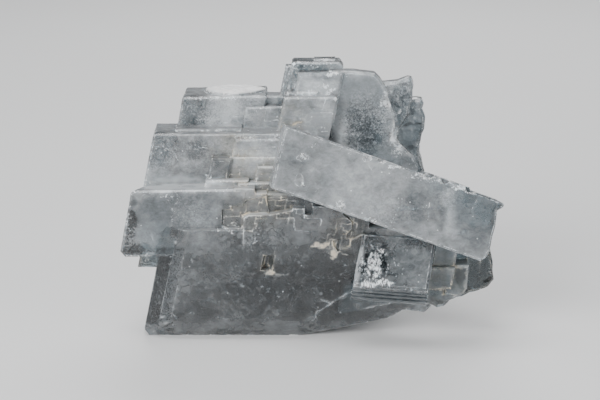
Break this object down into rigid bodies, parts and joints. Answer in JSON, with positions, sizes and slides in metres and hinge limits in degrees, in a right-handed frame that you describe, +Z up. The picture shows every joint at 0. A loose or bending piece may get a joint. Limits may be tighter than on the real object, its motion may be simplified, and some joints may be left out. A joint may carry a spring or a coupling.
{
  "type": "barite crystal specimen",
  "caption": "Free-standing barite specimen: stepped rhombic tablets grown parallel, crossed by a long milky blade with a clear tablet tucked below it.",
  "frame": {"origin": "under the middle of the specimen's box, on the surface it stands on", "axes": "+Z up, +X to the right along the specimen's length, -Y towards the front, where the long blade is"},
  "size_m": [0.0962, 0.0476, 0.068],
  "materials": {
    "cluster": "vitreous, clear to milky",
    "blade": "satin, milky",
    "clear": "vitreous, clear with white veils"
  },
  "bodies": {
    "root": {"stepped_cluster": "cluster", "long_blade": "blade", "clear_tablet": "clear"}
  },
  "joints": []
}
